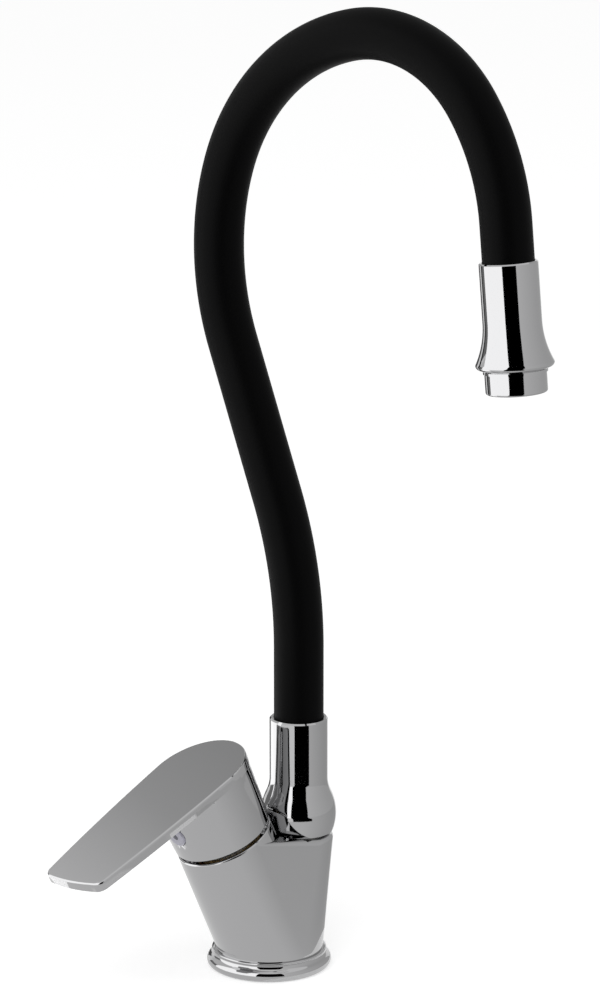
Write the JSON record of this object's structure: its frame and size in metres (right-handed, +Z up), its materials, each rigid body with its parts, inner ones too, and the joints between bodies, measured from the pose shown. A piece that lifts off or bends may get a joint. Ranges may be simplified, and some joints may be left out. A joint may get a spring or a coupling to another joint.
{
  "type": "kitchen mixer faucet",
  "caption": "Single-lever kitchen mixer on a round base, with a swivelling, bendable black hose spout that ends in a flared bell with an aerator.",
  "frame": {"origin": "centre of the underside, on the axis of the stud hole, where the mixer stands on the worktop", "axes": "+Z up, the lever's branch leans towards -X, the spout's upright branch stands towards +X; +Y is the hot inlet's side"},
  "size_m": [0.1671, 0.1633, 0.3899],
  "materials": {
    "chrome": "polished chrome plate over brass",
    "black_silicone": "smooth satin black silicone",
    "clear_plug": "clear moulded plastic with a dark dot",
    "seal_rubber": "moulded rubber",
    "ceramic": "lapped white ceramic",
    "cartridge_plastic": "moulded off-white plastic",
    "steel": "turned and drawn stainless steel",
    "raw_brass": "turned brass, unplated",
    "tube_plastic": "extruded translucent plastic",
    "aerator_plastic": "moulded grey plastic"
  },
  "bodies": {
    "root": {"mixer_body": "chrome", "base_ring": "chrome", "base_gasket": "seal_rubber", "port_seals": "seal_rubber", "cartridge_base": "cartridge_plastic", "fixed_disc": "ceramic", "cartridge_housing": "cartridge_plastic", "cartridge_nut": "raw_brass", "slip_ring": "cartridge_plastic"},
    "turret": {"turret": "cartridge_plastic", "pivot_pin": "steel"},
    "lever": {"handle": "chrome", "spindle": "steel", "handle_grub_screw": "steel", "index_plug": "clear_plug"},
    "disc": {"disc_carrier": "cartridge_plastic", "moving_disc": "ceramic"},
    "spout_base": {"spout_collar": "chrome", "spout_shank": "raw_brass", "shank_seals": "seal_rubber", "spout_clip": "steel", "neck_lower_fitting": "raw_brass", "hose_sleeve_1": "black_silicone", "water_tube_1": "tube_plastic", "core_link_1": "steel"},
    "neck_2": {"core_link_2": "steel", "hose_sleeve_2": "black_silicone", "water_tube_2": "tube_plastic"},
    "neck_3": {"core_link_3": "steel", "hose_sleeve_3": "black_silicone", "water_tube_3": "tube_plastic"},
    "neck_4": {"core_link_4": "steel", "hose_sleeve_4": "black_silicone", "water_tube_4": "tube_plastic"},
    "neck_5": {"core_link_5": "steel", "hose_sleeve_5": "black_silicone", "water_tube_5": "tube_plastic"},
    "neck_6": {"core_link_6": "steel", "hose_sleeve_6": "black_silicone", "water_tube_6": "tube_plastic"},
    "outlet": {"core_link_7": "steel", "hose_sleeve_7": "black_silicone", "water_tube_7": "tube_plastic", "hose_sleeve_8": "black_silicone", "water_tube_8": "tube_plastic", "neck_upper_fitting": "raw_brass", "outlet_bell": "chrome", "outlet_nipple": "raw_brass", "aerator_housing": "chrome", "aerator_washer": "seal_rubber", "aerator_insert": "aerator_plastic", "aerator_screen": "steel", "aerator_grid": "aerator_plastic"}
  },
  "joints": [
    {"name": "handle_turn", "type": "hinge", "parent": "root", "child": "turret", "pos_m": [-0.021, 0, 0.0575], "axis": [-0.4067, 0, 0.9135], "range_deg": [-59, 31]},
    {"name": "handle_lift", "type": "hinge", "parent": "turret", "child": "lever", "pos_m": [-0.02466, 0, 0.06572], "axis": [-0.221, 0.9703, -0.0984], "range_deg": [0, 18]},
    {"name": "disc_slide", "type": "slide", "parent": "turret", "child": "disc", "axis": [-0.8864, -0.2419, -0.3947], "range_m": [0, 0.00279]},
    {"name": "spout_swivel", "type": "hinge", "parent": "root", "child": "spout_base", "pos_m": [0.014, 0, 0.045], "axis": [0, 0, 1], "continuous": true},
    {"name": "bend_1", "type": "hinge", "parent": "spout_base", "child": "neck_2", "pos_m": [0.01303, 0.00266, 0.16203], "axis": [0.9397, 0.342, 0], "range_deg": [-18, 18], "deforming": ["hose_sleeve_2", "water_tube_2"]},
    {"name": "side_1", "type": "hinge", "parent": "neck_2", "child": "neck_3", "pos_m": [0.00624, 0.02133, 0.2217], "axis": [0.3193, -0.8773, 0.3584], "range_deg": [-18, 18], "deforming": ["hose_sleeve_3", "water_tube_3"]},
    {"name": "bend_2", "type": "hinge", "parent": "neck_3", "child": "neck_4", "pos_m": [-0.00007, 0.03865, 0.28696], "axis": [0.9397, 0.342, 0], "range_deg": [-18, 18], "deforming": ["hose_sleeve_4", "water_tube_4"]},
    {"name": "bend_3", "type": "hinge", "parent": "neck_4", "child": "neck_5", "pos_m": [0.00997, 0.01108, 0.35896], "axis": [0.9397, 0.342, 0], "range_deg": [-18, 18], "deforming": ["hose_sleeve_5", "water_tube_5"]},
    {"name": "side_2", "type": "hinge", "parent": "neck_5", "child": "neck_6", "pos_m": [0.03417, -0.05542, 0.37611], "axis": [-0.1226, 0.3368, -0.9336], "range_deg": [-18, 18], "deforming": ["hose_sleeve_6", "water_tube_6"]},
    {"name": "bend_4", "type": "hinge", "parent": "neck_6", "child": "outlet", "pos_m": [0.04668, -0.08978, 0.33598], "axis": [0.9397, 0.342, 0], "range_deg": [-18, 18], "deforming": ["hose_sleeve_7", "water_tube_7"]}
  ],
  "couplings": [
    {"joint": "disc_slide", "follows": "handle_lift", "m_per_rad": 0.00885}
  ]
}
